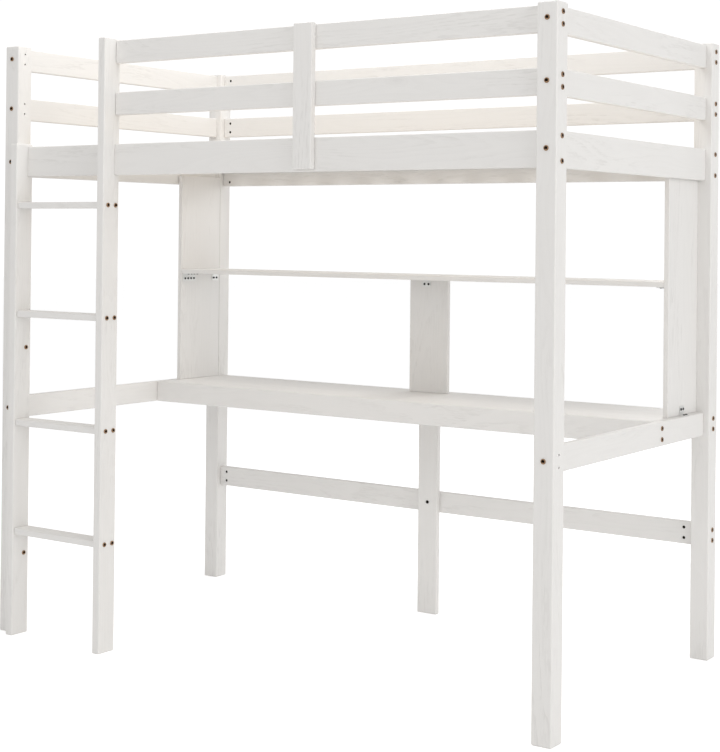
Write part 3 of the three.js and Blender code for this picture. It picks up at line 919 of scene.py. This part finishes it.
JOINTS = [
    ("side_rail_front", WIDE, "post_front_left", "post_front_right"),
    ("side_rail_back", WIDE, "post_back_left", "post_back_right"),
    ("guard_rail_front_upper", NARROW, "ladder_stile_right", "post_front_right"),
    ("guard_rail_front_lower", NARROW, "ladder_stile_right", "post_front_right"),
    ("guard_rail_back_upper", NARROW, "post_back_left", "post_back_right"),
    ("guard_rail_back_lower", NARROW, "post_back_left", "post_back_right"),
    ("desk_back_rail", NARROW, "post_back_left", "post_back_right"),
    ("back_stretcher", NARROW, "post_back_left", "post_back_right"),
    ("desk_apron", NARROW, "desk_end_rail_left", "desk_end_rail_right"),
]
for end in ("left", "right"):
    for rail in (f"end_rail_{end}_upper", f"end_rail_{end}_middle", f"end_rail_{end}_lower",
                 f"desk_end_rail_{end}"):
        JOINTS.append((rail, SINGLE, f"post_front_{end}", f"post_back_{end}"))


def middle(name):
    """The middle of a board's box."""
    low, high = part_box(name)
    return (low + high) / 2


def rail_fasteners(rail, pitch, low_neighbour, high_neighbour):
    """Poses of the bolts and of the barrel nuts of one rail."""
    low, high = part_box(rail)
    centre = (low + high) / 2
    axis = "xyz".index(longest_way(rail))
    along = (X, Y)[axis]
    across = 1 - axis
    # A rail's inner face looks at the bed's middle, but the apron's looks under the desk.
    past_middle = centre[across] > 0 and rail != "desk_apron"
    inside = (Y, X)[axis] * (-1 if past_middle else 1)
    heights = [centre.z - pitch / 2, centre.z + pitch / 2] if pitch else [centre.z]
    bolts, nuts = [], []
    for neighbour, end, outward in ((low_neighbour, low, -1), (high_neighbour, high, 1)):
        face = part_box(neighbour)[0 if outward < 0 else 1][axis]
        for height in heights:
            head = centre.copy()
            head[axis] = face + outward * EXPOSED
            head.z = height
            bolts.append(pose(head, along * outward))
            if not pitch:
                continue
            nut = centre + inside * (RAIL_THICK / 2 - NUT_SUNK)
            nut[axis] = end[axis] - outward * NUT_FROM_END
            nut.z = height
            nuts.append(pose(nut, inside, along))
    return bolts, nuts


bed_bolts, bed_nuts, desk_bolts, desk_nuts = [], [], [], []
for joint in JOINTS:
    bolts, nuts = rail_fasteners(*joint)
    is_desk = "desk" in joint[0] or "stretcher" in joint[0]
    (desk_bolts if is_desk else bed_bolts).extend(bolts)
    (desk_nuts if is_desk else bed_nuts).extend(nuts)
print("rail joints:", len(bed_bolts + desk_bolts), "bolts and",
      len(bed_nuts + desk_nuts), "barrel nuts")

# %% [markdown]
# ## Ladder and leg bolts
#
# Each rung has two bolts through the long stile. The short stile is bolted to the corner
# post at two heights. The desk's centre leg is tied to the low stretcher behind it by one
# small bolt, its head painted near-black as painted shade.

# %% Ladder and leg bolts
RUNG_PITCH = 0.033
STILE_BOLT_HEIGHTS = (0.256, 0.911)
STILE_BOLT_FORWARD = 0.010
RUNGS = sorted(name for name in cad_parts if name.startswith("ladder_rung"))

ladder_bolts = []
stile_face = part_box("ladder_stile_right")[1].x + EXPOSED
for rung in RUNGS:
    centre = middle(rung)
    for step in (-RUNG_PITCH / 2, RUNG_PITCH / 2):
        ladder_bolts.append(pose((stile_face, centre.y + step, centre.z), X))
post_bolts = []
short_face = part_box("ladder_stile_left")[1].x + EXPOSED
for height in STILE_BOLT_HEIGHTS:
    place = (short_face, middle("post_front_left").y - STILE_BOLT_FORWARD, height)
    post_bolts.append(pose(place, X))

leg_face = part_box("desk_centre_leg")[0].y - EXPOSED
leg_place = (middle("desk_centre_leg").x, leg_face, middle("back_stretcher").z)

set_group("bed_bolts", bolt_model, bed_bolts, BRONZE)
set_group("desk_bolts", bolt_model, desk_bolts, BRONZE)
set_group("ladder_bolts", bolt_model, ladder_bolts, BRONZE)
set_group("ladder_post_bolts", short_bolt_model, post_bolts, BRONZE)
set_group("centre_leg_bolt", small_bolt_model, [pose(leg_place, -Y)], BRONZE_PAINTED_AS_SHADE)
set_group("bed_barrel_nuts", nut_model, bed_nuts, BRONZE_PAINTED_AS_SHADE)
set_group("desk_barrel_nuts", nut_model, desk_nuts, BRONZE_PAINTED_AS_SHADE)

# %% [markdown]
# ## Bracket screws
#
# A bracket has one flat leg and one upright leg, each with a row of holes. A screw's head
# sits on the side that faces into the angle. Only the two directions of the legs are
# needed: the corner is where the bracket's box begins on the side that each leg leaves.

# %% Bracket screws
BRACKET_THICK = 0.002
SCREW_PITCH = 0.016
HOLE_SHARE = 0.65       # how far along a leg its holes are

BRACKETS = {
    "shelf_bracket_left_front": (X, -Z),
    "shelf_bracket_left_back": (X, -Z),
    "shelf_bracket_right_front": (-X, -Z),
    "shelf_bracket_right_back": (-X, -Z),
    "divider_bracket_top": (-Y, -Z),
    "divider_bracket_foot": (Y, Z),
    "panel_bracket_left": (-X, Z),
    "panel_bracket_right": (X, Z),
}


def bracket_screws(name, flat, upright):
    """Poses of the screws in both legs of a bracket."""
    low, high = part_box(name)
    row = Y if abs(flat.x) > 0.5 else X
    corner = (low + high) / 2
    for axis, leaving in enumerate(flat + upright):
        if abs(leaving) > 0.5:
            corner[axis] = (low if leaving > 0 else high)[axis]
    count = int((high - low).dot(row) / SCREW_PITCH + 0.01)
    poses = []
    for number in range(count):
        spot = corner + row * (number - (count - 1) / 2) * SCREW_PITCH
        for leg_way, head_way in ((flat, upright), (upright, flat)):
            leg = abs((high - low).dot(leg_way))
            place = spot + leg_way * leg * HOLE_SHARE + head_way * BRACKET_THICK
            poses.append(pose(place, head_way))
    return poses


bracket_poses = [p for name, ways in BRACKETS.items() for p in bracket_screws(name, *ways)]
set_group("bracket_screws", screw_model, bracket_poses, BLACK_ZINC)

# %% [markdown]
# ## Screws in the woodwork
#
# The ledgers are screwed to the side rails, the slats to the ledgers, the cleats to the
# desk's rails, and the short upright is screwed on from inside the rails. A strip's screws
# are spaced evenly by a helper, as a carpenter would mark them out, and not placed by hand.

# %% Woodwork screws
SLATS = sorted(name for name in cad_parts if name.startswith("bed_slat"))
SLAT_SCREW_IN = 0.010
SCREW_SPACING = 0.23
UPRIGHT_SCREW_ASIDE = 0.016


def row_of_screws(name, outward):
    """Screws along a strip, on the face that looks outward."""
    low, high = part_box(name)
    centre = (low + high) / 2
    face = (high if outward.y > 0 else low).y
    count = max(2, round((high.x - low.x) / SCREW_SPACING))
    step = (high.x - low.x) / count
    return [pose((low.x + step * (i + 0.5), face, centre.z), outward) for i in range(count)]


wood_screws = []
for slat in SLATS:
    low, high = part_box(slat)
    for y in (low.y + SLAT_SCREW_IN, high.y - SLAT_SCREW_IN):
        wood_screws.append(pose(((low.x + high.x) / 2, y, high.z), Z))
for strip, outward in (("slat_ledger_front", Y), ("slat_ledger_back", -Y), ("desk_cleat_front", Y),
                       ("desk_cleat_back_left", -Y), ("desk_cleat_back_right", -Y)):
    wood_screws.extend(row_of_screws(strip, outward))
for rail in ("guard_rail_front_upper", "guard_rail_front_lower", "side_rail_front"):
    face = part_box(rail)[1].y
    for aside in (-UPRIGHT_SCREW_ASIDE, UPRIGHT_SCREW_ASIDE):
        wood_screws.append(pose((middle("guard_upright").x + aside, face, middle(rail).z), Y))
set_group("wood_screws", screw_model, wood_screws, BLACK_ZINC)

for model in (bolt_model, short_bolt_model, small_bolt_model, nut_model, screw_model):
    bpy.data.objects.remove(model, do_unlink=True)

# %% [markdown]
# ## Check the size
#
# The looks must not change the bed's size: only the bolt heads stand proud of the frame.

# %% Size
looks_low, looks_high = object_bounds()
growth = (looks_high - looks_low) - (cad_high - cad_low)
print("grown by", [round(1000 * g, 1) for g in growth], "mm")
